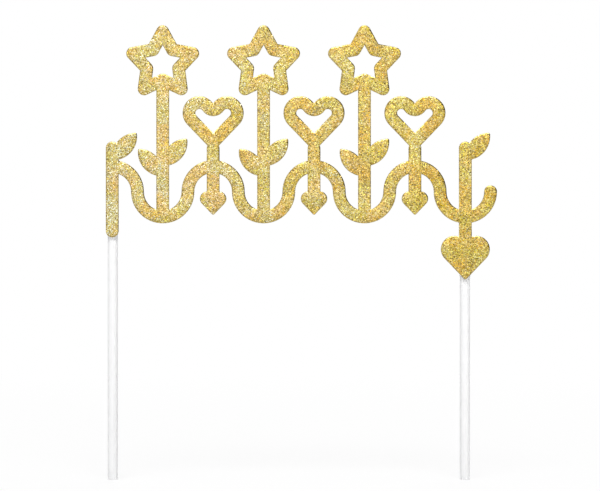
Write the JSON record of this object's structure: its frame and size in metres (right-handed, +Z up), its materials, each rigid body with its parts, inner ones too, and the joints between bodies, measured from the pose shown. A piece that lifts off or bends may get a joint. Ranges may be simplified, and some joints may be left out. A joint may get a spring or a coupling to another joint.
{
  "type": "cake topper",
  "caption": "Flat die-cut glitter card ornament of stars and hearts on a waved vine, glued to thin hollow plastic sticks that push into the top of a cake.",
  "frame": {"origin": "bottom centre of the topper's box: the plane of the stick tips in Z, half the width in X, half the depth in Y", "axes": "+Z up along the sticks, +X to the right seen from the front, +Y from the glitter front to the stick side at the back"},
  "size_m": [0.1918, 0.0066, 0.223],
  "materials": {
    "gold_glitter": "gold polyester glitter flakes bonded to the card",
    "white_card": "uncoated white card",
    "stick_plastic": "milky translucent extruded polypropylene",
    "hot_melt_glue": "cloudy hot-melt glue"
  },
  "bodies": {
    "root": {"glitter_coat": "gold_glitter", "backing_card": "white_card", "left_stick": "stick_plastic", "right_stick": "stick_plastic", "left_glue_bead": "hot_melt_glue", "right_glue_bead": "hot_melt_glue"}
  },
  "joints": []
}
